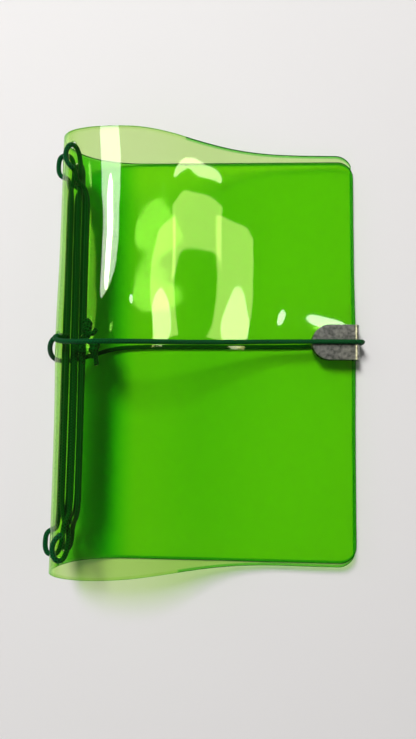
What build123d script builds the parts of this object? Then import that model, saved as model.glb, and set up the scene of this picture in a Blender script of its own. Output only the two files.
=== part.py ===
from build123d import *
from math import cos, pi, radians, sin
import os

# Refillable pocket notebook cover: one clear sheet folded round a soft spine, a spine elastic laced
# through it for the refills, a closure elastic round the outside and a metal clip on the fore edge.
# Frame: +Z up with the notebook lying on its back cover, +X to the fore edge, +Y to the head.

# ---- cover sheet ----
sheet_height = 134.0  # head to tail
sheet_t = 0.6
corner_r = 5.5  # fore-edge corners
hinge_gap = 0.9  # slot between two zones at a bend line, so that they can fold
cover_lift = 1.6  # underside of the back cover, which lies on the closure elastic

# The sheet is one 204 mm strip, followed from the back fore edge round the spine to the front one.
# Each zone is a row of tangent bends (length in mm, turn in degrees, negative towards the front).
zones = {
    "back_cover": [(68, 0), (7, -1), (17, -41)],
    "spine_strip": [(10, -48), (12, -86)],
    "spine_bend_front": [(22, -16)],
    "front_cover_slope": [(10, -31), (12, 20)],
    "front_cover": [(12, 3), (12, 20), (22, 0)],
}
sheet_width = sum(length for bends in zones.values() for length, turn in bends)
spine_u = sheet_width / 2  # the fold's centre line, along the strip

# ---- elastics: round cord, a rubber core in a braided sleeve ----
cord_d = 1.5
cord_gap = 0.15  # air between a cord and the sheet that it lies on
hole_d = 2.4
hole_from_edge = (4.75, 11.75)  # outer and inner hole of each pair
column_u = {"front": spine_u + 9, "centre": spine_u + 0.5, "back": spine_u - 7}
bight_lift = 2.3  # how far a bight's centreline stands outside the sheet
turn_depth = 1.9  # how far inside the sheet a strand turns to go out through its hole
cord_bend_r = 1.5

# ---- closure and clip ----
closure_y = 4.0
closure_u = spine_u + 7.0
clip_length = 15.3
clip_width = 11.3
clip_t = 0.5
clip_overhang = 1.8
clip_height = 3.6


def walk(u, lift=0.0):
    """The point (x, z) at distance u along the strip, that far outside its middle surface, and the
    heading there in degrees. The back fore edge is at x = 0 here."""
    x, z, heading = 0.0, 0.0, 180.0
    for length, turn in [bend for bends in zones.values() for bend in bends]:
        part = min(u, length)
        turned = turn * part / length
        mid = radians(heading + turned / 2)
        chord = part
        if turned:
            chord = 2 * part / radians(abs(turned)) * sin(radians(abs(turned)) / 2)
        x, z = x + chord * cos(mid), z + chord * sin(mid)
        heading += turned
        u -= part
        if u <= 0:
            break
    side = radians(heading + 90)
    return x + lift * cos(side), z + lift * sin(side), heading


# The row's origin is the middle of the footprint: the spine bights stick out on the left, and the
# closure elastic's bend on the right.
cord_r = cord_d / 2
bend_x_local = walk(sheet_width)[0] + clip_overhang + 0.05 + cord_r  # the bend's centreline
left_local = min(walk(spine_u + step / 10, bight_lift + cord_r)[0] for step in range(-40, 60))
right_local = bend_x_local + cord_r
fore_x = (right_local - left_local) / 2 - right_local
sheet_z = cover_lift + sheet_t / 2


def place(u, y, lift=0.0):
    """A point of the row: along the strip, across it, and outside (or inside) its middle surface."""
    x, z, heading = walk(u, lift)
    return Vector(fore_x + x, y, sheet_z + z)


def outward(u):
    """The sheet's outward normal at u."""
    return (place(u, 0, 1) - place(u, 0, 0)).normalized()


# ---- cover zones ----
def add_outline(u_from, u_to, bends_from, bends):
    """Draws one zone's cross-section: its outer face, its inner face and the two cut ends."""
    marks = [u_from]
    edge = bends_from
    for length, turn in bends:
        edge += length
        marks.append(min(edge, u_to))
    for lift in (sheet_t / 2, -sheet_t / 2):
        for a, b, (length, turn) in zip(marks, marks[1:], bends):
            ends = [flat_point(u, lift) for u in (a, (a + b) / 2, b)]
            if turn:
                ThreePointArc(*ends)
            else:
                Line(ends[0], ends[2])
    for u in (u_from, u_to):
        Line(flat_point(u, sheet_t / 2), flat_point(u, -sheet_t / 2))


def flat_point(u, lift):
    """The point (x, z) for a sketch on the XZ plane."""
    point = place(u, 0, lift)
    return (point.X, point.Z)


def hole_centres():
    """Every hole in the spine strip: (distance along the strip, y)."""
    rows = [side * (sheet_height / 2 - off) for off in hole_from_edge for side in (1, -1)]
    laced = [(u, y) for u in column_u.values() for y in rows]
    return laced + [(closure_u, closure_y)]


os.makedirs("parts", exist_ok=True)
bend_lines = []
zone_start = 0.0
for zone_name, bends in zones.items():
    zone_end = zone_start + sum(length for length, turn in bends)
    first = zone_start + (hinge_gap / 2 if zone_start > 0 else 0)
    last = zone_end - (hinge_gap / 2 if zone_end < sheet_width else 0)
    with BuildPart() as zone:
        with BuildSketch(Plane.XZ.offset(-sheet_height / 2)):
            with BuildLine():
                add_outline(first, last, zone_start, bends)
            make_face()
        extrude(amount=sheet_height)
        if zone_name in ("back_cover", "front_cover"):
            fore_corners = zone.edges().filter_by(Axis.Z).group_by(Axis.X)[-1]
            fillet(fore_corners, radius=corner_r)
        if zone_name == "spine_strip":
            for u, y in hole_centres():
                with Locations(Plane(place(u, y, 1.5), z_dir=outward(u))):
                    Hole(radius=hole_d / 2, depth=3)
    zone.part.label = zone_name
    export_step(zone.part, f"parts/{zone_name}.step")
    if zone_end < sheet_width:
        bend_lines.append((zone_name, place(zone_end, 0)))
    zone_start = zone_end


# ---- elastics ----
def make_cord(name, route, radii):
    """Writes a cord: straight runs joined by tangent arcs, its sleeve and core as one solid."""
    with BuildPart() as cord:
        with BuildLine() as path:
            FilletPolyline(*route, radius=radii)
        with BuildSketch(Plane(origin=path.line @ 0, z_dir=path.line % 0)):
            Circle(cord_r)
        sweep(path=path.line)
    length = sum(edge.length for edge in path.line.edges())
    share = cord.part.volume / (pi * cord_r**2 * length)
    cord.part.label = name
    export_step(cord.part, f"parts/{name}.step")
    print(f"{name}: {length:.0f} mm long, volume {share:.4f} of section times length")


# Lanes of the six strands at any height of the spine, as (x from the fold's leftmost line, z above
# the back cover), and how far up the sheet they keep to them.
lanes = {
    "wall": (2.0, 14.8),
    "second": (3.3, 16.4),
    "third": (4.5, 14.7),
    "fourth": (5.8, 16.3),
    "fifth": (7.0, 14.6),
    "outer": (8.3, 16.4),
}
lane_end_y = 44.0
fold_x = place(spine_u, 0).X
inner_y = sheet_height / 2 - hole_from_edge[1]
outer_y = sheet_height / 2 - hole_from_edge[0]
deep = 2.7  # how far inside a strand turns in from its outer hole, past the one to the inner hole


def lane_point(lane, y):
    """A strand's point in its lane."""
    x, z = lanes[lane]
    return Vector(fold_x + x, y, sheet_z + z)


def bight(column, end, arriving):
    """The four corners of one outside bight, from the strand arriving inside to the one leaving.
    end is 1 at the head and -1 at the tail; the arriving strand uses the inner hole."""
    u = column_u[column]
    corners = [
        place(u, end * inner_y, -turn_depth),
        place(u, end * inner_y, bight_lift),
        place(u, end * outer_y, bight_lift),
        place(u, end * outer_y, -deep),
    ]
    return corners if arriving == "inner" else corners[::-1]


knot_r = 2.1
knot_centre = Vector(fold_x + 9.3, 7.5, sheet_z + 16.6)
strand_start = knot_centre + Vector(-0.9, knot_r - 0.2, -0.2)
strand_end = knot_centre + Vector(-0.9, -knot_r + 0.2, -0.2)

spine_route = [strand_start, lane_point("outer", lane_end_y)]
spine_route += bight("front", 1, "inner")
spine_route += [lane_point("fourth", lane_end_y), lane_point("fourth", -lane_end_y)]
spine_route += bight("front", -1, "inner")
spine_route += [lane_point("second", -lane_end_y), lane_point("second", lane_end_y)]
spine_route += bight("centre", 1, "inner")
spine_route += [lane_point("wall", lane_end_y), lane_point("wall", -lane_end_y)]
spine_route += bight("centre", -1, "inner")
spine_route += [lane_point("third", -lane_end_y), lane_point("third", lane_end_y)]
spine_route += bight("back", 1, "inner")
spine_route += [lane_point("fifth", lane_end_y), lane_point("fifth", -lane_end_y)]
spine_route += bight("back", -1, "inner")
spine_route += [lane_point("outer", -lane_end_y), strand_end]


def corner_radii(route, tight, gentle=25.0):
    """One radius for each corner: tight at a hole, gentle where a strand leaves its lane."""
    radii = []
    for before, corner, after in zip(route, route[1:], route[2:]):
        turn = (corner - before).get_angle(after - corner)
        radii.append(tight if turn > 45 else gentle)
    return radii


make_cord("spine_elastic", spine_route, corner_radii(spine_route, cord_bend_r))

# ---- closure elastic, in the four stretches that move with different parts of the cover ----
over = sheet_t / 2 + cord_gap + cord_r  # the centreline of a cord that lies on the sheet
front_edge = place(sheet_width, 0)
clip_top = front_edge.Z + sheet_t / 2 + 0.3 + clip_t
strand_z = clip_top + 0.15 + cord_r
clip_outer_x = front_edge.X + clip_overhang
clip_inner_x = clip_outer_x - clip_length
split_x = front_edge.X - 4.0  # the bend round the fore edge starts here
bend_x = fore_x + bend_x_local
bend_r = 2.5
bend_low_z = 3.2
stretch_gap = 0.3

front_run = [
    place(closure_u, closure_y, -turn_depth),
    place(closure_u, closure_y, over + 1.1),
    place(spine_u + 10.5, closure_y, over + 0.9),
    place(spine_u + 23, closure_y, over + 0.9),
    place(spine_u + 36, closure_y, over + 0.5),
    Vector(clip_inner_x - 2, closure_y, strand_z),
    Vector(split_x - stretch_gap, closure_y, strand_z),
]
make_cord("closure_front_run", front_run, [cord_bend_r, 3, 20, 20, 25])

edge_bend = [
    Vector(split_x, closure_y, strand_z),
    Vector(bend_x, closure_y, strand_z),
    Vector(bend_x, closure_y, bend_low_z),
]
make_cord("closure_edge_bend", edge_bend, [bend_r])

wrap_end_u = spine_u - 8.6
spine_wrap = [
    place(closure_u - 2.4, closure_y - 0.5, over + 0.1),
    place(closure_u - 5.2, closure_y - 1.8, over + 0.6),
    place(spine_u - 3, closure_y - 2.4, over + 0.7),
    place(wrap_end_u, closure_y - 1.2, over + 0.2),
]
make_cord("closure_spine_wrap", spine_wrap, [5, 6])

back_run = [
    place(wrap_end_u - 2.0, closure_y - 0.9, over + 0.3),
    place(spine_u - 19, closure_y, over + 1.3),
    Vector(place(spine_u - 30, 0).X, closure_y, cord_r),
    Vector(bend_x, closure_y, cord_r),
    Vector(bend_x, closure_y, bend_low_z - stretch_gap),
]
make_cord("closure_back_run", back_run, [20, 20, 2.0])


# ---- knots: each is a ball of wrapped cord with its cut tail ----
def make_knot(name, centre, radius, tail_to):
    """A plain knot with one tail that ends at tail_to."""
    tail = tail_to - centre
    with BuildPart() as knot:
        with Locations(centre):
            Sphere(radius=radius)
        with BuildSketch(Plane(origin=centre, z_dir=tail)):
            Circle(cord_r)
        extrude(amount=tail.length)
    knot.part.label = name
    export_step(knot.part, f"parts/{name}.step")


make_knot("spine_elastic_knot", knot_centre, knot_r, knot_centre + Vector(3.4, -0.8, 1.2))
closure_knot_centre = place(closure_u, closure_y, -turn_depth - 4.4) + Vector(5.0, -4.2, -0.4)
make_knot("closure_elastic_knot", closure_knot_centre, 1.9, closure_knot_centre + Vector(1.2, -5.0, 1.0))

# ---- clip: a D-shaped leaf above the front cover, bent round its fore edge and under it ----
leaf_r = clip_width / 2 - 0.01  # the inner end is a half round
bend_outer_r = 1.7
with BuildPart() as clip:
    with BuildSketch(Plane.XZ.offset(-(closure_y + clip_width / 2))):
        with BuildLine():
            FilletPolyline(
                (clip_inner_x, clip_top),
                (clip_outer_x, clip_top),
                (clip_outer_x, clip_top - clip_height),
                (clip_inner_x, clip_top - clip_height),
                radius=bend_outer_r,
            )
            FilletPolyline(
                (clip_inner_x, clip_top - clip_t),
                (clip_outer_x - clip_t, clip_top - clip_t),
                (clip_outer_x - clip_t, clip_top - clip_height + clip_t),
                (clip_inner_x, clip_top - clip_height + clip_t),
                radius=bend_outer_r - clip_t,
            )
            Line((clip_inner_x, clip_top), (clip_inner_x, clip_top - clip_t))
            Line((clip_inner_x, clip_top - clip_height), (clip_inner_x, clip_top - clip_height + clip_t))
        make_face()
    extrude(amount=clip_width)
    leaf_corners = clip.edges().filter_by(Axis.Z).group_by(Axis.X)[0]
    fillet(leaf_corners, radius=leaf_r)
clip.part.label = "edge_clip"
export_step(clip.part, "parts/edge_clip.step")

# ---- the places that the record needs ----
print(f"footprint: fold {fold_x:.3f}, fore edge {fore_x:.3f}, left {fore_x + left_local:.3f}, bend {bend_x + cord_r:.3f}")
for zone_name, line in bend_lines:
    print(f"bend line after {zone_name}: x {line.X:.3f} z {line.Z:.3f}")
print(f"front cover z {front_edge.Z:.3f}, clip top {clip_top:.3f}, leaf under {clip_top - clip_height:.3f}")
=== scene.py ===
"""Looks for the clear pocket notebook cover: soft sheet, laced elastics, clip, studio and camera."""

import math

import bmesh
import bpy
import numpy as np
from mathutils import Matrix, Vector


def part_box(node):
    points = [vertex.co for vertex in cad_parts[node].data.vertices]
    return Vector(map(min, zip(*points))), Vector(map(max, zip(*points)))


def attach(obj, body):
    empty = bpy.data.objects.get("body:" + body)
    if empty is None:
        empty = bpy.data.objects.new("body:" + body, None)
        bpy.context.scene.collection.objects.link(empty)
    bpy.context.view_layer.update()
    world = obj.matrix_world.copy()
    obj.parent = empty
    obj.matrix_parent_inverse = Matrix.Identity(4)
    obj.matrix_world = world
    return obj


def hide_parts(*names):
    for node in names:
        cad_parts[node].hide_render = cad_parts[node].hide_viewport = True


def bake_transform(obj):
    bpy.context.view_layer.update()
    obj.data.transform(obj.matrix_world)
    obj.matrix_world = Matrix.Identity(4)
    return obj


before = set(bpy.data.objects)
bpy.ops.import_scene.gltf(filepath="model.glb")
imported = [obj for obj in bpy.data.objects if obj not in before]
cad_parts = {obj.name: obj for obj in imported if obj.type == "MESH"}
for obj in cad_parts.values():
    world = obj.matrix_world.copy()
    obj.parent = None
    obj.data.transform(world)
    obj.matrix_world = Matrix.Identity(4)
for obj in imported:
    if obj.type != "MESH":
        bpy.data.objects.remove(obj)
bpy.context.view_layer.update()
MM = 0.001

# ---- cover sheet, as in the CAD: one strip followed from the back fore edge round the spine ----
SHEET_HEIGHT = 134.0
SHEET_T = 0.6
CORNER_R = 5.5
SPINE_U = 102.0
SHEET_WIDTH = 204.0
BACK_FORE_X = 47.776
FRONT_FORE_X = 46.36
BACK_Z = 1.9
FRONT_Z = 5.841
# (length, turn at the tail, turn at the head): the soft spine is rounder at the tail
BENDS = [
    (66, 0.0, 0.0),
    (9, 0.0, -3.1),
    (12, -26.4, -22.0),
    (5, -20.2, -17.2),
    (5, -20.0, -22.0),
    (5, -23.5, -25.7),
    (5, -42.6, -40.2),
    (5, -28.8, -31.8),
    (8, -19.8, -14.0),
    (8, -14.5, -7.3),
    (8, -11.7, -18.3),
    (10, -4.9, -12.0),
    (12, 7.5, 5.9),
    (12, 15.1, 11.9),
    (12, 12.0, 11.1),
    (22, -3.0, 5.5),
]
CLOSURE_Y = 4.0
# degrees added to each turn near the closure elastic
PINCH = [0, 0, 0, 0, 0, 0, 0, 0, -4, -4, 0, 0, -2, -1, 7, 4]
PINCH_Y = CLOSURE_Y + 6
PINCH_REACH = 34.0
BEND_ROUNDING = 5  # length over which one bend runs into the next
SAG = 1.45
SAG_REACH = 17.0
TABLE_GAP = 0.04
DENT_U = 128
DENT_WIDTH = 14
DENT_DEPTH = 0.5
DENT_REACH = 9.0
STEP = 0.5


def smoothstep(t):
    t = min(max(t, 0.0), 1.0)
    return t * t * (3 - 2 * t)


def near(y, centre, reach):
    """1 at centre, falling smoothly to 0 away from it."""
    return math.exp(-(((y - centre) / reach) ** 2))


def profile(y):
    """The sheet's section at y, as arrays of x and z at every STEP along the strip."""
    share = smoothstep(0.5 + y / SHEET_HEIGHT)
    rate = []
    pinch = near(y, PINCH_Y, PINCH_REACH)
    for (length, tail, head), pinched in zip(BENDS, PINCH):
        turn = math.radians(tail + (head - tail) * share + pinched * pinch)
        rate += [turn / length] * round(length / STEP)
    rate = np.array(rate)
    window = round(BEND_ROUNDING / STEP)
    padded = np.pad(rate, window, mode="edge")
    rate = np.convolve(padded, np.ones(window) / window, mode="same")[window:-window]
    rate *= math.radians(-180) / rate.sum()
    heading = math.pi + np.concatenate([[0.0], np.cumsum(rate)])
    mid = (heading[:-1] + heading[1:]) / 2
    x = np.concatenate([[0.0], np.cumsum(np.cos(mid))]) * STEP
    z = np.concatenate([[0.0], np.cumsum(np.sin(mid))]) * STEP
    u = np.arange(len(x)) * STEP
    # the sheet sags a little away from the elastic, which holds it up
    drop = SAG * (1 - near(y, CLOSURE_Y, SAG_REACH))
    share = np.clip((u - SPINE_U) / SPINE_U, 0, 1)
    share = share * share * (3 - 2 * share)
    x += BACK_FORE_X
    z += BACK_Z - drop
    x += (FRONT_FORE_X - x[-1]) * share
    z += (FRONT_Z - drop * 0.75 - z[-1]) * share
    # nothing lies lower than the surface below
    z = np.maximum(z, SHEET_T / 2 + TABLE_GAP)
    # the taut closure elastic dents the bulge
    z -= np.exp(-(((u - DENT_U) / DENT_WIDTH) ** 2)) * DENT_DEPTH * near(y, CLOSURE_Y, DENT_REACH)
    return x, z


PROFILE_Y = np.linspace(-SHEET_HEIGHT / 2, SHEET_HEIGHT / 2, 91)
PROFILES = [profile(y) for y in PROFILE_Y]
GRID_X = np.array([p[0] for p in PROFILES])
GRID_Z = np.array([p[1] for p in PROFILES])


def grid_at(grid, u, y):
    row = (y - PROFILE_Y[0]) / (PROFILE_Y[1] - PROFILE_Y[0])
    row = min(max(row, 0.0), len(PROFILE_Y) - 1.000001)
    col = min(max(u / STEP, 0.0), grid.shape[1] - 1.000001)
    i, j = int(row), int(col)
    a, b = row - i, col - j
    top = grid[i, j] * (1 - b) + grid[i, j + 1] * b
    low = grid[i + 1, j] * (1 - b) + grid[i + 1, j + 1] * b
    return top * (1 - a) + low * a


def surface(u, y, lift=0.0):
    """A point in metres on the sheet's middle surface, or that many millimetres outside it."""
    here = Vector((grid_at(GRID_X, u, y), y, grid_at(GRID_Z, u, y)))
    if lift:
        along = Vector(
            (
                grid_at(GRID_X, u + 0.5, y) - grid_at(GRID_X, u - 0.5, y),
                0,
                grid_at(GRID_Z, u + 0.5, y) - grid_at(GRID_Z, u - 0.5, y),
            )
        )
        across = Vector(
            (
                grid_at(GRID_X, u, y + 0.5) - grid_at(GRID_X, u, y - 0.5),
                1,
                grid_at(GRID_Z, u, y + 0.5) - grid_at(GRID_Z, u, y - 0.5),
            )
        )
        here += along.cross(across).normalized() * lift
    return here * MM


# ---- materials ----
VINYL_IOR = 1.53


def new_material(name):
    mat = bpy.data.materials.new(name)
    mat.use_nodes = True
    nodes = mat.node_tree.nodes
    nodes.clear()
    output = nodes.new("ShaderNodeOutputMaterial")
    return mat, nodes, mat.node_tree.links, output


def clear_sheet(name, tint, roughness, spine_shade_tint=None):
    """Soft clear vinyl: what is behind it is tinted at each face, and its gloss follows Fresnel."""
    mat, nodes, links, output = new_material(name)
    coords = nodes.new("ShaderNodeTexCoord")
    noise = nodes.new("ShaderNodeTexNoise")
    noise.inputs["Scale"].default_value = 34.0
    noise.inputs["Detail"].default_value = 2.0
    links.new(coords.outputs["Object"], noise.inputs["Vector"])
    bump = nodes.new("ShaderNodeBump")
    bump.inputs["Strength"].default_value = 0.09
    bump.inputs["Distance"].default_value = 0.002
    links.new(noise.outputs["Fac"], bump.inputs["Height"])
    fresnel = nodes.new("ShaderNodeFresnel")
    side = nodes.new("ShaderNodeNewGeometry")
    ior = nodes.new("ShaderNodeMath")  # both faces reflect alike: the index outside, its inverse inside
    ior.operation = "MULTIPLY_ADD"
    ior.inputs[1].default_value = 1 / VINYL_IOR - VINYL_IOR
    ior.inputs[2].default_value = VINYL_IOR
    links.new(side.outputs["Backfacing"], ior.inputs[0])
    links.new(ior.outputs[0], fresnel.inputs["IOR"])
    links.new(bump.outputs["Normal"], fresnel.inputs["Normal"])
    facing = nodes.new("ShaderNodeLayerWeight")
    facing.inputs["Blend"].default_value = 0.5
    slant = nodes.new("ShaderNodeMath")
    slant.operation = "POWER"
    slant.inputs[1].default_value = 1.6
    links.new(facing.outputs["Facing"], slant.inputs[0])
    depth = nodes.new("ShaderNodeMix")
    depth.data_type = "RGBA"
    depth.inputs["A"].default_value = (*tint, 1)
    depth.inputs["B"].default_value = (*(c**4 for c in tint), 1)
    links.new(slant.outputs[0], depth.inputs["Factor"])
    shade = depth.outputs["Result"]
    if spine_shade_tint:
        # painted shade: beside the spine the sheet is tinted deeper, standing in for the strand bundle's
        # shadow and the dim light that reaches there through several layers
        spine_shade_attr = nodes.new("ShaderNodeAttribute")
        spine_shade_attr.attribute_name = "fold"
        spine_shade_mix = nodes.new("ShaderNodeMix")
        spine_shade_mix.data_type = "RGBA"
        spine_shade_mix.blend_type = "MULTIPLY"
        spine_shade_mix.inputs["B"].default_value = (*spine_shade_tint, 1)
        links.new(spine_shade_attr.outputs["Fac"], spine_shade_mix.inputs["Factor"])
        links.new(shade, spine_shade_mix.inputs["A"])
        shade = spine_shade_mix.outputs["Result"]
    clear = nodes.new("ShaderNodeBsdfTransparent")
    links.new(shade, clear.inputs["Color"])
    gloss = nodes.new("ShaderNodeBsdfGlossy")
    gloss.inputs["Color"].default_value = (1, 1, 1, 1)
    gloss.inputs["Roughness"].default_value = roughness
    links.new(bump.outputs["Normal"], gloss.inputs["Normal"])
    mix = nodes.new("ShaderNodeMixShader")
    links.new(fresnel.outputs["Fac"], mix.inputs["Fac"])
    links.new(clear.outputs["BSDF"], mix.inputs[1])
    links.new(gloss.outputs["BSDF"], mix.inputs[2])
    links.new(mix.outputs["Shader"], output.inputs["Surface"])
    return mat


def cut_edge(name, color, body, solid):
    """The sheet's cut edge, where light piped through the vinyl comes out deep green."""
    mat, nodes, links, output = new_material(name)
    clear = nodes.new("ShaderNodeBsdfTransparent")
    clear.inputs["Color"].default_value = (*color, 1)
    shader = nodes.new("ShaderNodeBsdfPrincipled")
    shader.inputs["Base Color"].default_value = (*body, 1)
    shader.inputs["Roughness"].default_value = 0.25
    mix = nodes.new("ShaderNodeMixShader")
    mix.inputs["Fac"].default_value = solid
    links.new(clear.outputs["BSDF"], mix.inputs[1])
    links.new(shader.outputs["BSDF"], mix.inputs[2])
    links.new(mix.outputs["Shader"], output.inputs["Surface"])
    return mat


def unseen(name):
    """For the cuts between the sheet's pieces, which the real sheet doesn't have."""
    mat, nodes, links, output = new_material(name)
    clear = nodes.new("ShaderNodeBsdfTransparent")
    clear.inputs["Color"].default_value = (1, 1, 1, 1)
    links.new(clear.outputs["BSDF"], output.inputs["Surface"])
    return mat


def braided(name):
    """Dark green braided sleeve: crossing diagonal ribs from the tube's UV, in millimetres."""
    mat, nodes, links, output = new_material(name)
    uv = nodes.new("ShaderNodeUVMap")
    uv.uv_map = "length_round"
    split = nodes.new("ShaderNodeSeparateXYZ")
    links.new(uv.outputs["UV"], split.inputs["Vector"])

    def math_node(kind, a, b=None):
        node = nodes.new("ShaderNodeMath")
        node.operation = kind
        for socket, value in zip(node.inputs, (a, b)):
            if value is None:
                continue
            if isinstance(value, (int, float)):
                socket.default_value = value
            else:
                links.new(value, socket)
        return node.outputs[0]

    along = math_node("MULTIPLY", split.outputs["X"], 7.0)
    around = math_node("MULTIPLY", split.outputs["Y"], 4 * 2 * math.pi)
    right = math_node("SINE", math_node("ADD", along, around))
    left = math_node("SINE", math_node("SUBTRACT", along, around))
    weave = math_node("MAXIMUM", right, left)
    # painted highlight and shade: the crossing ribs are real, but their crests are coloured lighter and the
    # grooves between them darker
    ramp = nodes.new("ShaderNodeValToRGB")
    ramp.color_ramp.elements[0].position = 0.05
    ramp.color_ramp.elements[0].color = (0.0002, 0.013, 0.003, 1)
    ramp.color_ramp.elements[1].position = 0.95
    ramp.color_ramp.elements[1].color = (0.0004, 0.11, 0.022, 1)
    links.new(weave, ramp.inputs["Fac"])
    bump = nodes.new("ShaderNodeBump")
    bump.inputs["Strength"].default_value = 0.6
    bump.inputs["Distance"].default_value = 0.00012
    links.new(weave, bump.inputs["Height"])
    shader = nodes.new("ShaderNodeBsdfPrincipled")
    shader.inputs["Roughness"].default_value = 0.55
    shader.inputs["Specular IOR Level"].default_value = 0.2
    shader.inputs["Sheen Weight"].default_value = 0.04
    shader.inputs["Sheen Tint"].default_value = (0.2, 0.9, 0.4, 1)
    links.new(ramp.outputs["Color"], shader.inputs["Base Color"])
    links.new(bump.outputs["Normal"], shader.inputs["Normal"])
    links.new(shader.outputs["BSDF"], output.inputs["Surface"])
    return mat


def rubber_core(name):
    mat, nodes, links, output = new_material(name)
    noise = nodes.new("ShaderNodeTexNoise")
    noise.inputs["Scale"].default_value = 3000.0
    ramp = nodes.new("ShaderNodeValToRGB")
    ramp.color_ramp.elements[0].color = (0.30, 0.55, 0.20, 1)
    ramp.color_ramp.elements[1].color = (0.50, 0.80, 0.36, 1)
    links.new(noise.outputs["Fac"], ramp.inputs["Fac"])
    shader = nodes.new("ShaderNodeBsdfPrincipled")
    shader.inputs["Roughness"].default_value = 0.6
    links.new(ramp.outputs["Color"], shader.inputs["Base Color"])
    links.new(shader.outputs["BSDF"], output.inputs["Surface"])
    return mat


def tumbled_steel(name):
    """Bright steel with the mottled, finely scratched skin of tumbled stampings."""
    mat, nodes, links, output = new_material(name)
    coords = nodes.new("ShaderNodeTexCoord")
    mottle = nodes.new("ShaderNodeTexNoise")
    mottle.inputs["Scale"].default_value = 900.0
    mottle.inputs["Detail"].default_value = 6.0
    links.new(coords.outputs["Object"], mottle.inputs["Vector"])
    shade = nodes.new("ShaderNodeValToRGB")
    shade.color_ramp.elements[0].position = 0.32
    shade.color_ramp.elements[0].color = (0.16, 0.17, 0.16, 1)
    shade.color_ramp.elements[1].position = 0.68
    shade.color_ramp.elements[1].color = (0.50, 0.50, 0.48, 1)
    links.new(mottle.outputs["Fac"], shade.inputs["Fac"])
    rough = nodes.new("ShaderNodeMapRange")
    rough.inputs["To Min"].default_value = 0.22
    rough.inputs["To Max"].default_value = 0.42
    links.new(mottle.outputs["Fac"], rough.inputs["Value"])
    bump = nodes.new("ShaderNodeBump")
    bump.inputs["Strength"].default_value = 0.25
    bump.inputs["Distance"].default_value = 0.0001
    links.new(mottle.outputs["Fac"], bump.inputs["Height"])
    shader = nodes.new("ShaderNodeBsdfPrincipled")
    shader.inputs["Metallic"].default_value = 0.85
    links.new(shade.outputs["Color"], shader.inputs["Base Color"])
    links.new(rough.outputs["Result"], shader.inputs["Roughness"])
    links.new(bump.outputs["Normal"], shader.inputs["Normal"])
    links.new(shader.outputs["BSDF"], output.inputs["Surface"])
    return mat


def tint_per_face(layer):
    """What one face lets through, from what the whole sheet does."""
    return tuple(math.sqrt(c) for c in layer)


FRONT_VINYL = clear_sheet("front_vinyl", tint_per_face((0.73, 0.935, 0.42)), 0.03)
# the back sheet carries painted shade beside the spine: a deeper tint where the strand bundle's shadow falls
BACK_VINYL = clear_sheet(
    "back_vinyl", tint_per_face((0.56, 0.97, 0.10)), 0.05, spine_shade_tint=tint_per_face((0.25, 0.78, 0.3))
)
EDGE_PALE = cut_edge("vinyl_edge_pale", (0.45, 0.85, 0.25), (0.06, 0.5, 0.04), 0.3)
EDGE_DEEP = cut_edge("vinyl_edge_deep", (0.02, 0.4, 0.05), (0.003, 0.17, 0.01), 0.7)
RIM_PALE = clear_sheet("vinyl_rim_pale", tint_per_face((0.62, 0.88, 0.30)), 0.03)
RIM_DEEP = clear_sheet("vinyl_rim_deep", tint_per_face((0.22, 0.72, 0.12)), 0.04)
SEAM = unseen("seam")
CORD = braided("braided_elastic")
CORE = rubber_core("rubber_core")
STEEL = tumbled_steel("tumbled_steel")


# ---- the cover, as four pieces split at three seams ----
HOLE_R = 1.2
COLUMN_U = {"front": 111.0, "centre": 102.5, "back": 95.0}
INNER_Y = 55.25
OUTER_Y = 62.25
HOLES = [(u, side * y) for u in COLUMN_U.values() for y in (OUTER_Y, INNER_Y) for side in (1, -1)]
HOLE_U = 107.0
HOLE_Y = 3.4
HOLES.append((HOLE_U, HOLE_Y))
SEAMS = [98.8, 125.0, 147.0]
RIM = 0.75  # how far in from its cut edge the sheet looks deeper
SPINE_SHADE_U = 72  # where the painted shade beside the spine starts, and how it comes and goes
SPINE_SHADE_RISE = 14
SPINE_SHADE_END_U = 94
SPINE_SHADE_FALL = 5


def half_height(u):
    """Half the sheet's height at u, less near its rounded fore corners."""
    d = min(u, SHEET_WIDTH - u)
    half = SHEET_HEIGHT / 2
    if d < CORNER_R:
        half -= CORNER_R - math.sqrt(max(CORNER_R**2 - (CORNER_R - d) ** 2, 0))
    return half


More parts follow.
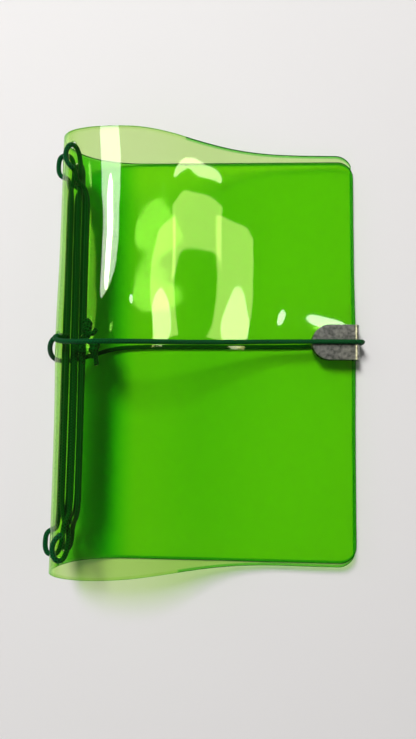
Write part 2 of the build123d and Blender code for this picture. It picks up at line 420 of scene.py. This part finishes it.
def flat_plate():
    """The sheet before it is folded: a thin plate in (u, y, lift), with its holes punched."""
    arc = [CORNER_R * (1 - math.cos(math.radians(a))) for a in range(0, 91, 10)]
    us = set(arc) | {SHEET_WIDTH - a for a in arc} | set(SEAMS)
    us |= {CORNER_R + i * 2.0 for i in range(1, 39)}
    us |= {84 + i * 1.0 for i in range(0, 90)}
    us |= {174 + i * 2.0 for i in range(0, 13)}
    us = sorted(us)
    us = [u for i, u in enumerate(us) if u in SEAMS or i == 0 or u - us[i - 1] > 0.25 or u in arc]
    half_way = SHEET_HEIGHT / 2
    rows = sorted([*np.linspace(-1, 1, 81), 1 - RIM / half_way, RIM / half_way - 1])
    bm = bmesh.new()
    layers = []
    for lift in (SHEET_T / 2, -SHEET_T / 2):
        grid = []
        for u in us:
            half = half_height(u)
            grid.append([bm.verts.new((u, v * half, lift)) for v in rows])
        layers.append(grid)
    for which, grid in enumerate(layers):
        for i in range(len(us) - 1):
            for j in range(len(rows) - 1):
                quad = [grid[i][j], grid[i + 1][j], grid[i + 1][j + 1], grid[i][j + 1]]
                bm.faces.new(quad if which == 0 else quad[::-1])
    top, low = layers
    for i in range(len(us) - 1):
        bm.faces.new([top[i + 1][0], top[i][0], low[i][0], low[i + 1][0]])
        bm.faces.new([top[i][-1], top[i + 1][-1], low[i + 1][-1], low[i][-1]])
    for j in range(len(rows) - 1):
        bm.faces.new([top[0][j], top[0][j + 1], low[0][j + 1], low[0][j]])
        bm.faces.new([top[-1][j + 1], top[-1][j], low[-1][j], low[-1][j + 1]])
    mesh = bpy.data.meshes.new("flat_cover")
    bm.to_mesh(mesh)
    bm.free()
    plate = bpy.data.objects.new("flat_cover", mesh)
    bpy.context.scene.collection.objects.link(plate)
    punch = bpy.data.meshes.new("punch")
    bm = bmesh.new()
    for u, y in HOLES:
        bmesh.ops.create_cone(
            bm, cap_ends=True, segments=28, radius1=HOLE_R, radius2=HOLE_R, depth=3,
            matrix=Matrix.Translation((u, y, 0)) @ Matrix.Rotation(0.07, 4, "Z"),
        )
    bm.to_mesh(punch)
    bm.free()
    tool = bpy.data.objects.new("punch", punch)
    bpy.context.scene.collection.objects.link(tool)
    cut = plate.modifiers.new("holes", "BOOLEAN")
    cut.operation = "DIFFERENCE"
    cut.solver = "EXACT"
    cut.object = tool
    bpy.context.view_layer.update()
    made = bpy.data.meshes.new_from_object(plate.evaluated_get(bpy.context.evaluated_depsgraph_get()))
    bpy.data.objects.remove(plate)
    bpy.data.objects.remove(tool)
    return made


def fold(flat):
    """Takes the flat plate to its folded shape, and gives back each vertex's u, y and lift."""
    u_of = np.array([v.co.x for v in flat.vertices])
    y_of = np.array([v.co.y for v in flat.vertices])
    lift_of = np.array([v.co.z for v in flat.vertices])
    for v in flat.vertices:
        v.co = surface(v.co.x, v.co.y, v.co.z)
    return u_of, y_of, lift_of


flat = flat_plate()
u_of, y_of, lift_of = fold(flat)
is_edge = []
is_rim = []
for poly in flat.polygons:
    around = list(poly.vertices)
    lifts = lift_of[around]
    is_edge.append(lifts.max() - lifts.min() > SHEET_T / 2)
    u, y = u_of[around].mean(), y_of[around].mean()
    is_rim.append(min(half_height(u) - abs(y), u, SHEET_WIDTH - u) < RIM)


def cover_piece(name, u_from, u_to, material, edge_material, rim_material):
    """The part of the cover between two seams, shaded with the whole sheet's normals."""
    keep = []
    for poly, edge, rim in zip(flat.polygons, is_edge, is_rim):
        centre = np.mean(u_of[list(poly.vertices)])
        if u_from - 0.01 < centre < u_to + 0.01:
            keep.append((poly, edge, rim))
    used = sorted({v for poly, edge, rim in keep for v in poly.vertices})
    index = {v: i for i, v in enumerate(used)}
    caps = []
    for seam in (u_from, u_to):
        if seam in SEAMS:
            rows = [
                sorted(
                    (y_of[v], index[v])
                    for v in used
                    if abs(u_of[v] - seam) < 1e-4 and lift_of[v] * side > 0
                )
                for side in (1, -1)
            ]
            for (_, a), (_, b), (_, c), (_, d) in zip(rows[0], rows[0][1:], rows[1][1:], rows[1]):
                caps.append([a, b, c, d] if seam == u_to else [d, c, b, a])
    mesh = bpy.data.meshes.new(name)
    mesh.from_pydata(
        [tuple(flat.vertices[v].co) for v in used],
        [],
        [[index[v] for v in poly.vertices] for poly, edge, rim in keep] + caps,
    )
    mesh.materials.append(material)
    mesh.materials.append(edge_material)
    mesh.materials.append(SEAM)
    mesh.materials.append(rim_material)
    normals = []
    for poly, (source, edge, rim) in zip(mesh.polygons, keep):
        poly.material_index = 1 if edge else 3 if rim else 0
        poly.use_smooth = not edge
        for v in source.vertices:
            if edge:
                normals.append(tuple(source.normal))
            else:
                n = face_normal(u_of[v], y_of[v])
                normals.append(tuple(n if lift_of[v] > 0 else -n))
    for poly in list(mesh.polygons)[len(keep) :]:
        poly.material_index = 2
        normals += [tuple(poly.normal)] * len(poly.vertices)
    mesh.normals_split_custom_set(normals)
    # painted shade: how much of the deeper tint beside the spine each vertex gets
    spine_shade_share = mesh.attributes.new("fold", "FLOAT", "POINT")
    for v in used:
        risen = smoothstep((u_of[v] - SPINE_SHADE_U) / SPINE_SHADE_RISE)
        share = risen * (1 - smoothstep((u_of[v] - SPINE_SHADE_END_U) / SPINE_SHADE_FALL))
        spine_shade_share.data[index[v]].value = share
    piece = bpy.data.objects.new(name, mesh)
    bpy.context.scene.collection.objects.link(piece)
    return piece


def face_normal(u, y):
    return (surface(u, y, 1.0) - surface(u, y, 0.0)).normalized()


cover_parts = [
    ("cover_back", 0.0, SEAMS[0], BACK_VINYL, ["back_cover"]),
    ("cover_spine", SEAMS[0], SEAMS[1], FRONT_VINYL, ["spine_strip"]),
    ("cover_slope", SEAMS[1], SEAMS[2], FRONT_VINYL, ["spine_bend_front"]),
    ("cover_front", SEAMS[2], SHEET_WIDTH, FRONT_VINYL, ["front_cover_slope", "front_cover"]),
]
blend_span = [(84.5, 98.0), (104.0, 124.0), (126.0, 146.0), (148.0, 168.0)]
for number, (name, u_from, u_to, material, nodes_for) in enumerate(cover_parts):
    deep = name in ("cover_back", "cover_front")
    piece = cover_piece(
        name, u_from, u_to, material, EDGE_DEEP if deep else EDGE_PALE, RIM_DEEP if deep else RIM_PALE
    )
    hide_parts(*nodes_for)
    start, end = blend_span[number]
    surface(start, 0)
    surface(end, 0)
    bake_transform(piece)


# ---- elastics ----
CORD_R = 0.75
CORD_SIDES = 14
OVER = SHEET_T / 2 + 0.12 + CORD_R


def smooth_line(points, step=0.45):
    """Even points along the NURBS line that has these control points, in metres."""
    curve = bpy.data.curves.new("route", "CURVE")
    curve.dimensions = "3D"
    curve.resolution_u = 24
    spline = curve.splines.new("NURBS")
    spline.points.add(len(points) - 1)
    for target, p in zip(spline.points, points):
        target.co = (*p, 1)
    spline.order_u = 3
    spline.use_endpoint_u = True
    holder = bpy.data.objects.new("route", curve)
    mesh = bpy.data.meshes.new_from_object(holder)
    line = np.array([v.co for v in mesh.vertices])
    bpy.data.objects.remove(holder)
    bpy.data.meshes.remove(mesh)
    gaps = np.linalg.norm(np.diff(line, axis=0), axis=1)
    where = np.concatenate([[0], np.cumsum(gaps)])
    count = max(4, round(where[-1] / (step * MM)))
    even = np.linspace(0, where[-1], count + 1)
    return [Vector([np.interp(s, where, line[:, k]) for k in range(3)]) for s in even]


def cord_mesh(name, lines, cut_ends=True):
    """Tubes along smooth lines, with UVs in millimetres along and turns round, and soft cut ends."""
    bm = bmesh.new()
    uv = bm.loops.layers.uv.new("length_round")
    for line in lines:
        gone = 0.0
        tangent = (line[1] - line[0]).normalized()
        side = tangent.orthogonal().normalized()
        rings = []
        for i, p in enumerate(line):
            ahead = (line[min(i + 1, len(line) - 1)] - line[max(i - 1, 0)]).normalized()
            side = (side - ahead * side.dot(ahead)).normalized()
            other = ahead.cross(side)
            if i:
                gone += (p - line[i - 1]).length / MM
            ring = []
            for k in range(CORD_SIDES):
                a = 2 * math.pi * k / CORD_SIDES
                ring.append(bm.verts.new(p + (side * math.cos(a) + other * math.sin(a)) * CORD_R * MM))
            rings.append((ring, gone))
        for (low, a), (high, b) in zip(rings, rings[1:]):
            for k in range(CORD_SIDES):
                m = (k + 1) % CORD_SIDES
                face = bm.faces.new([low[k], low[m], high[m], high[k]])
                face.smooth = True
                here, there = k / CORD_SIDES, (k + 1) / CORD_SIDES
                values = [(a, here), (a, there), (b, there), (b, here)]
                for loop, value in zip(face.loops, values):
                    loop[uv].uv = value
        for (ring, at), way in ((rings[0], -1), (rings[-1], 1)):
            axis = (line[1] - line[0]) if way < 0 else (line[-1] - line[-2])
            axis = axis.normalized() * way * CORD_R * MM
            centre = sum((v.co for v in ring), Vector()) / CORD_SIDES
            last = ring
            for share, reach in ((0.86, 0.22), (0.55, 0.32)):
                fresh = [bm.verts.new(centre + (v.co - centre) * share + axis * reach) for v in ring]
                for k in range(CORD_SIDES):
                    m = (k + 1) % CORD_SIDES
                    quad = [last[k], last[m], fresh[m], fresh[k]]
                    face = bm.faces.new(quad if way > 0 else quad[::-1])
                    face.smooth = True
                last = fresh
            face = bm.faces.new(last if way > 0 else last[::-1])
            face.material_index = 1 if cut_ends else 0
    mesh = bpy.data.meshes.new(name)
    bm.to_mesh(mesh)
    bm.free()
    mesh.materials.append(CORD)
    mesh.materials.append(CORE)
    piece = bpy.data.objects.new(name, mesh)
    bpy.context.scene.collection.objects.link(piece)
    return piece


# strands inside the spine: (x from the fold, z above the back cover), as in the CAD
FOLD_X = -46.655
LANES = {
    "wall": (2.0, 14.8),
    "second": (3.3, 16.4),
    "third": (4.5, 14.7),
    "fourth": (5.8, 16.3),
    "fifth": (7.0, 14.6),
    "outer": (8.3, 16.4),
}


def lane(name, y, dx=0.0, dz=0.0):
    """A strand's point in its lane; the lanes follow the fold, which leans out towards the tail."""
    x, z = LANES[name]
    lean = grid_at(GRID_X, SPINE_U, y) - grid_at(GRID_X, SPINE_U, 10)
    return Vector((FOLD_X + x + lean + dx, y, BACK_Z + z + dz)) * MM


def strand(name, way, sway):
    """The middle of one strand, from head to tail if way is -1."""
    ys = [49.5, 38, 20, 0, -20, -38, -49.5]
    if way > 0:
        ys = ys[::-1]
    return [lane(name, y, sway * math.sin(y / 21.0 + sway * 9), 0.25 * math.cos(y / 17.0)) for y in ys]


def bight(column, end, arriving, lift=1.75, lean=0.0):
    """An outside loop through a pair of holes, leaning over by lean, with its ends inside."""
    u = COLUMN_U[column]
    path = [
        surface(u, end * (INNER_Y - 3.4), -1.7),
        surface(u, end * (INNER_Y - 0.5), -1.4),
        surface(u, end * INNER_Y, 0.9),
        surface(u + lean * 0.6, end * (INNER_Y + 1.3), lift),
        surface(u + lean, end * (INNER_Y + 3.5), lift + 0.2),
        surface(u + lean * 0.6, end * (OUTER_Y - 1.3), lift),
        surface(u, end * OUTER_Y, 0.9),
        surface(u, end * (OUTER_Y + 0.2), -1.6),
        surface(u + 0.2, end * (OUTER_Y - 2.6), -3.0),
        surface(u + 0.4, end * (INNER_Y - 0.5), -3.3),
    ]
    return path if arriving == "inner" else path[::-1]


KNOT = Vector((FOLD_X + 9.3, 5.8, BACK_Z + 16.6)) * MM
route = [KNOT + Vector((-0.9, 1.9, -0.2)) * MM, lane("outer", 20), lane("outer", 38), lane("outer", 49.5)]
route += bight("front", 1, "inner", 1.6, -1.3)
route += strand("fourth", -1, 0.25)
route += bight("front", -1, "inner", 1.6, -1.3)
route += strand("second", 1, 0.2)
route += bight("centre", 1, "inner")
route += strand("wall", -1, 0.1)
route += bight("centre", -1, "inner")
route += strand("third", 1, 0.25)
route += bight("back", 1, "inner", 1.25)
route += strand("fifth", -1, 0.3)
route += bight("back", -1, "inner", 1.25)
route += [lane("outer", -49.5), lane("outer", -38), lane("outer", -20), lane("outer", 0)]
route += [KNOT + Vector((-0.9, -1.9, -0.2)) * MM]
line = smooth_line(route)
spine_elastic = cord_mesh("spine_elastic_laced", [line])
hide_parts("spine_elastic")
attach(spine_elastic, "spine_body")


def overhand(centre, along, size, tails):
    """A pulled-tight overhand knot round centre, and its tails."""
    along = Vector(along).normalized()
    side = along.cross(Vector((0, 0, 1))).normalized()
    up = side.cross(along)
    points = []
    for i in range(-6, 31):
        t = 2 * math.pi * i / 24
        p = along * (0.8 * math.sin(2 * t)) + side * (0.9 * math.cos(2 * t))
        p += up * (0.85 * math.sin(2 * t + 0.6))
        wrap = along * ((i - 12) / 18 * 1.1)
        points.append(centre + (p * 0.62 + wrap) * size * MM)
    lines = [smooth_line(points, 0.3)]
    for tail in tails:
        lines.append(smooth_line([centre + Vector(p) * MM for p in tail], 0.3))
    return lines


knot_lines = overhand(KNOT, (0.15, 1, 0), 1.8, [
    [(0.2, -0.6, 0.3), (1.3, -1.7, 1.1), (2.5, -1.5, 1.3), (3.1, -0.3, 1.0)],
    [(-0.5, -1.2, 0.2), (-1.3, -3.0, 0.5), (-1.6, -5.0, 0.6), (-1.3, -7.6, 0.9), (-0.6, -10.3, 0.6)],
])
knot_lines += overhand(KNOT + Vector((-1.4, -6.2, 0.2)) * MM, (-0.1, 1, 0.1), 1.25, [])
spine_knot = cord_mesh("spine_elastic_knotted", knot_lines)
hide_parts("spine_elastic_knot")
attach(spine_knot, "spine_body")

# the closure elastic: out of its hole, over the front, round the clip, back under and round the spine
CLIP_LOW, CLIP_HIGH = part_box("edge_clip")
strand_z = CLIP_HIGH.z / MM + 0.15 + CORD_R
bend_x = CLIP_HIGH.x / MM + 0.05 + CORD_R


RUN_LOW_Y = 0.9
RUN_RISE_U = 116
RUN_RISE = 77


def run_y(u):
    """The taut run is lowest on the bulge and rises to the middle of the clip."""
    return RUN_LOW_Y + (CLOSURE_Y - RUN_LOW_Y) * smoothstep((u - RUN_RISE_U) / RUN_RISE)


def run_point(u, extra):
    return surface(u, run_y(u), OVER + extra)


runs = {
    "closure_run_spine": [
        surface(HOLE_U, HOLE_Y, -3.0),
        surface(HOLE_U, HOLE_Y, -0.3),
        surface(HOLE_U + 0.5, HOLE_Y - 0.7, 1.3),
        surface(HOLE_U + 2.0, HOLE_Y - 1.9, OVER + 0.15),
        run_point(113.0, 0.05),
        run_point(120.0, 0.0),
        run_point(125.0, 0.0),
    ],
    "closure_run_bend": [
        run_point(125.0, 0.0),
        run_point(130.0, 0.0),
        run_point(136.0, 0.1),
        run_point(142.0, 0.3),
        run_point(147.0, 0.5),
    ],
    "closure_run_slope": [
        run_point(147.0, 0.5),
        run_point(155.0, 1.2),
        run_point(165.0, 2.0),
        run_point(176.0, 1.6),
    ],
}
split_x = CLIP_HIGH.x / MM - 5.5
runs["closure_run_clip"] = [
    run_point(176.0, 1.6),
    Vector((CLIP_LOW.x / MM - 2, CLOSURE_Y - 0.1, strand_z + 0.1)) * MM,
    Vector((CLIP_LOW.x / MM + 5, CLOSURE_Y, strand_z)) * MM,
    Vector((split_x, CLOSURE_Y, strand_z)) * MM,
]
joined = {
    "closure_run_spine": ("spine_body", "spine_bend_body", 109.0, 124.5),
    "closure_run_bend": ("spine_bend_body", "cover_slope_body", 126.0, 146.0),
    "closure_run_slope": ("cover_slope_body", "front_cover_body", 148.0, 168.0),
}
for name, points in runs.items():
    piece = cord_mesh(name, [smooth_line(points)], cut_ends=False)
    if name in joined:
        body_a, body_b, start, end = joined[name]
        run_point(start, 0)
        run_point(end, 0)
        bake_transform(piece)
    else:
        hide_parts("closure_front_run")
        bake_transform(piece)
edge_line = smooth_line([
    Vector((split_x - 0.2, CLOSURE_Y, strand_z)) * MM,
    Vector((bend_x - 2.5, CLOSURE_Y, strand_z)) * MM,
    Vector((bend_x - 0.2, CLOSURE_Y, strand_z - 0.1)) * MM,
    Vector((bend_x, CLOSURE_Y, strand_z - 2.0)) * MM,
    Vector((bend_x, CLOSURE_Y, 3.1)) * MM,
    Vector((bend_x, CLOSURE_Y, 1.9)) * MM,
    Vector((bend_x - 0.5, CLOSURE_Y, CORD_R)) * MM,
    Vector((bend_x - 2.4, CLOSURE_Y, CORD_R)) * MM,
])
edge_bend = cord_mesh("closure_bend_at_clip", [edge_line], cut_ends=False)
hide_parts("closure_edge_bend")
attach(edge_bend, "clip_body")
back_line = smooth_line([
    Vector((bend_x - 2.2, CLOSURE_Y, CORD_R)) * MM,
    Vector((bend_x - 5, CLOSURE_Y, CORD_R)) * MM,
    Vector((32, CLOSURE_Y - 0.9, CORD_R)) * MM,
    Vector((6, CLOSURE_Y - 1.2, CORD_R)) * MM,
    Vector((-22, CLOSURE_Y - 1.3, CORD_R + 0.1)) * MM,
    surface(80.0, CLOSURE_Y - 2.0, OVER + 0.2),
    surface(86.0, CLOSURE_Y - 4.4, OVER + 0.1),
    surface(91.0, CLOSURE_Y - 6.2, OVER),
])
back_run = cord_mesh("closure_run_back", [back_line], cut_ends=False)
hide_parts("closure_back_run")
surface(80, CLOSURE_Y)
surface(98, CLOSURE_Y)
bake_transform(back_run)
wrap_line = smooth_line([
    surface(91.0, -2.2, OVER),
    surface(95.0, -3.3, OVER + 0.2),
    surface(98.5, -3.5, OVER + 0.6),
    surface(101.0, -2.6, OVER + 0.9),
    surface(103.5, -0.7, OVER + 0.8),
    surface(105.8, 1.6, OVER + 0.5),
    surface(HOLE_U - 0.1, HOLE_Y - 0.3, 0.3),
    surface(HOLE_U - 0.1, HOLE_Y - 0.3, -2.8),
])
wrap = cord_mesh("closure_wrap_at_spine", [wrap_line], cut_ends=False)
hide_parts("closure_spine_wrap")
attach(wrap, "spine_body")
low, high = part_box("closure_elastic_knot")
closure_knot = Vector(((low.x + high.x) / 2 - 0.4 * MM, high.y - 1.9 * MM, (low.z + high.z) / 2))
knot_lines = overhand(closure_knot, (0.3, 1, 0.1), 1.7, [
    [(0.2, -0.6, 0.1), (0.7, -2.0, 0.4), (1.0, -3.6, 0.7), (1.2, -5.0, 1.0)],
    [(-0.2, 0.8, 0.2), (-1.6, 2.2, 0.8), (-3.2, 3.6, 1.8)],
])
closure_knot_piece = cord_mesh("closure_elastic_knotted", knot_lines)
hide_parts("closure_elastic_knot")
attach(closure_knot_piece, "spine_body")

# ---- clip ----
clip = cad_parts["edge_clip"]
clip.data.materials.clear()
clip.data.materials.append(STEEL)

# ---- studio: pale floor, soft lamps ----
floor_mesh = bpy.data.meshes.new("floor")
FLOOR_HALF = 1.5
corners = [(x * FLOOR_HALF, y * FLOOR_HALF, 0) for x, y in ((-1, -1), (1, -1), (1, 1), (-1, 1))]
floor_mesh.from_pydata(corners, [], [(0, 1, 2, 3)])
floor = bpy.data.objects.new("floor", floor_mesh)
bpy.context.scene.collection.objects.link(floor)
mat, nodes, links, output = new_material("pale_floor")
shader = nodes.new("ShaderNodeBsdfDiffuse")
shader.inputs["Color"].default_value = (0.84, 0.82, 0.81, 1)
links.new(shader.outputs["BSDF"], output.inputs["Surface"])
floor_mesh.materials.append(mat)


def lamp(name, at, target, size, radiance, color=(1, 1, 1), shape="RECTANGLE", mirrored=True, lights=True):
    """An area lamp of a given radiance, aimed at a point.

    mirrored says if glossy surfaces show it, and lights says if it lights matt ones.
    """
    data = bpy.data.lights.new(name, "AREA")
    data.shape = shape
    data.size, data.size_y = size
    data.color = color
    area = size[0] * size[1] * (math.pi / 4 if shape == "ELLIPSE" else 1)
    data.energy = radiance * area * math.pi
    holder = bpy.data.objects.new(name, data)
    bpy.context.scene.collection.objects.link(holder)
    holder.location = at
    holder.rotation_euler = (Vector(target) - Vector(at)).to_track_quat("-Z", "Y").to_euler()
    holder.visible_glossy = mirrored
    holder.visible_diffuse = lights


WARM = (1.0, 0.93, 0.40)
lamp("key", (-0.275, 0.50, 0.95), (-0.03, 0.04, 0), (0.26, 0.36), 38.0, mirrored=False)
lamp("fill_left", (-1.1, 0.5, 0.9), (0, 0, 0), (0.7, 0.7), 1.4, mirrored=False)
lamp("fill_front", (-0.3, -0.9, 0.9), (0, 0, 0), (0.7, 0.7), 1.0, mirrored=False)
lamp("fill_right", (1.0, 0.2, 0.9), (0, 0, 0), (0.5, 0.5), 0.9, mirrored=False)
lamp("strip", (-0.262, 0.476, 0.90), (-0.03, 0.04, 0), (0.19, 0.34), 6.5, lights=False)
lamp("strip_core", (-0.225, 0.385, 0.86), (-0.03, 0.04, 0), (0.06, 0.17), 22.0, shape="ELLIPSE", lights=False)
lamp("window", (0.635, 0.20, 0.645), (-0.01, 0.03, 0), (0.30, 0.30), 3.7, WARM, lights=False)
lamp("window_top", (0.74, 0.365, 0.49), (-0.01, 0.04, 0), (0.1, 0.2), 3.7, WARM, lights=False)
lamp(
    "window_core", (0.60, 0.145, 0.64), (-0.01, 0.02, 0), (0.24, 0.23),
    5.4, (1, 0.95, 0.75), shape="ELLIPSE", lights=False,
)
lamp(
    "window_pane", (0.71, 0.474, 0.49), (-0.003, 0.058, 0.014), (0.03, 0.16), 7.0, (1, 0.97, 0.7),
    shape="ELLIPSE", lights=False,
)
lamp(
    "ceiling_spot", (0.222, 0.25, 0.955), (0.032, 0.01, 0.005), (0.075, 0.05),
    9.0, lights=False, shape="ELLIPSE",
)
world = bpy.data.worlds.new("studio")
world.use_nodes = True
world.node_tree.nodes["Background"].inputs["Color"].default_value = (1, 1, 1, 1)
world.node_tree.nodes["Background"].inputs["Strength"].default_value = 0.03
bpy.context.scene.world = world
bpy.context.scene.view_settings.view_transform = "Standard"
bpy.context.scene.cycles.transparent_max_bounces = 32  # light crosses many layers of clear sheet

# ---- camera: close above the notebook, tilted a little, as a phone is held ----
camera_data = bpy.data.cameras.new("camera")
camera_data.sensor_width = 36.0
camera_data.lens = 24.86
camera_data.clip_start = 0.01
camera = bpy.data.objects.new("camera", camera_data)
bpy.context.scene.collection.objects.link(camera)
camera.location = (0.00638, -0.01891, 0.17108)
camera.rotation_euler = [math.radians(a) for a in (4.764, 2.385, 0.79)]
bpy.context.scene.camera = camera
